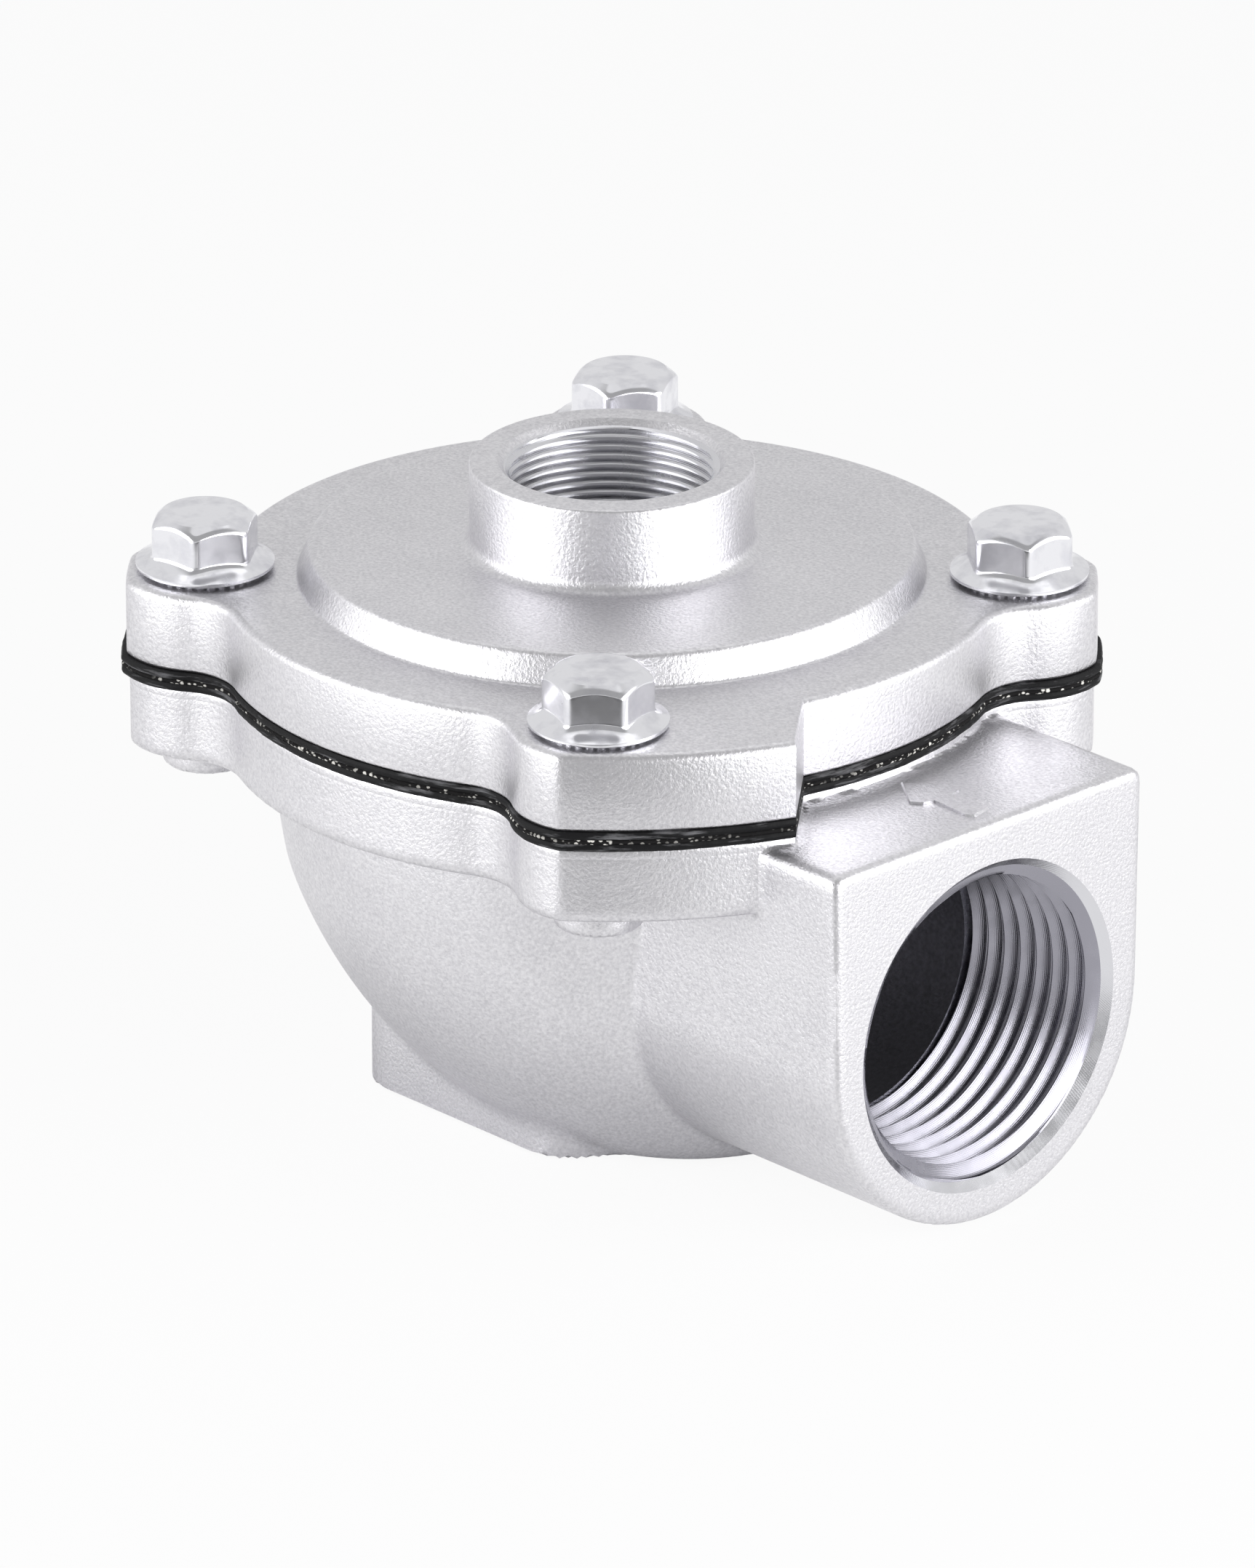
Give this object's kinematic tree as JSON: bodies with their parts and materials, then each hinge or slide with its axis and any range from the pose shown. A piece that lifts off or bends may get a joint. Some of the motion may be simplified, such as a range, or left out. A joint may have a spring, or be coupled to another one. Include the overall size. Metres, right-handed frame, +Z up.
{
  "type": "diaphragm pulse valve",
  "caption": "Right-angle diaphragm pulse valve: threaded side inlet, hexagonal outlet boss below, bolted cover with a threaded pilot port on top.",
  "frame": {"origin": "middle of the outlet's mouth, on the diaphragm's axis", "axes": "+Z up along the diaphragm's axis, +X out of the inlet port"},
  "size_m": [0.0957, 0.0812, 0.0668],
  "materials": {
    "cast_aluminium": "fine bead-blasted die casting",
    "zinc_steel": "bright zinc plate",
    "plain_steel": "bright rolled sheet",
    "spring_steel": "drawn wire",
    "brass": "turned",
    "rubber": "moulded, matt",
    "woven_fabric": "cut edge of a rubbered cloth"
  },
  "bodies": {
    "housing": {"valve_body": "cast_aluminium", "cover": "cast_aluminium", "cover_bolt_1": "zinc_steel", "cover_bolt_2": "zinc_steel", "cover_bolt_3": "zinc_steel", "cover_bolt_4": "zinc_steel", "diaphragm_rim_upper": "rubber", "diaphragm_fabric": "woven_fabric", "diaphragm_rim_lower": "rubber", "diaphragm_web": "rubber", "return_spring": "spring_steel"},
    "lift_stack": {"diaphragm_centre": "rubber", "support_plate": "plain_steel", "retainer_disc": "plain_steel", "centre_screw": "zinc_steel", "plain_washer": "zinc_steel", "lock_washer": "spring_steel", "lock_nut": "zinc_steel", "bleed_bush_1": "brass", "bleed_bush_2": "brass"}
  },
  "joints": [
    {"name": "diaphragm_lift", "type": "slide", "parent": "housing", "child": "lift_stack", "axis": [0, 0, 1], "range_m": [0, 0.0065], "stiffness_N_per_m": 1500, "springref_m": -0.008, "deforming": ["return_spring"]}
  ]
}
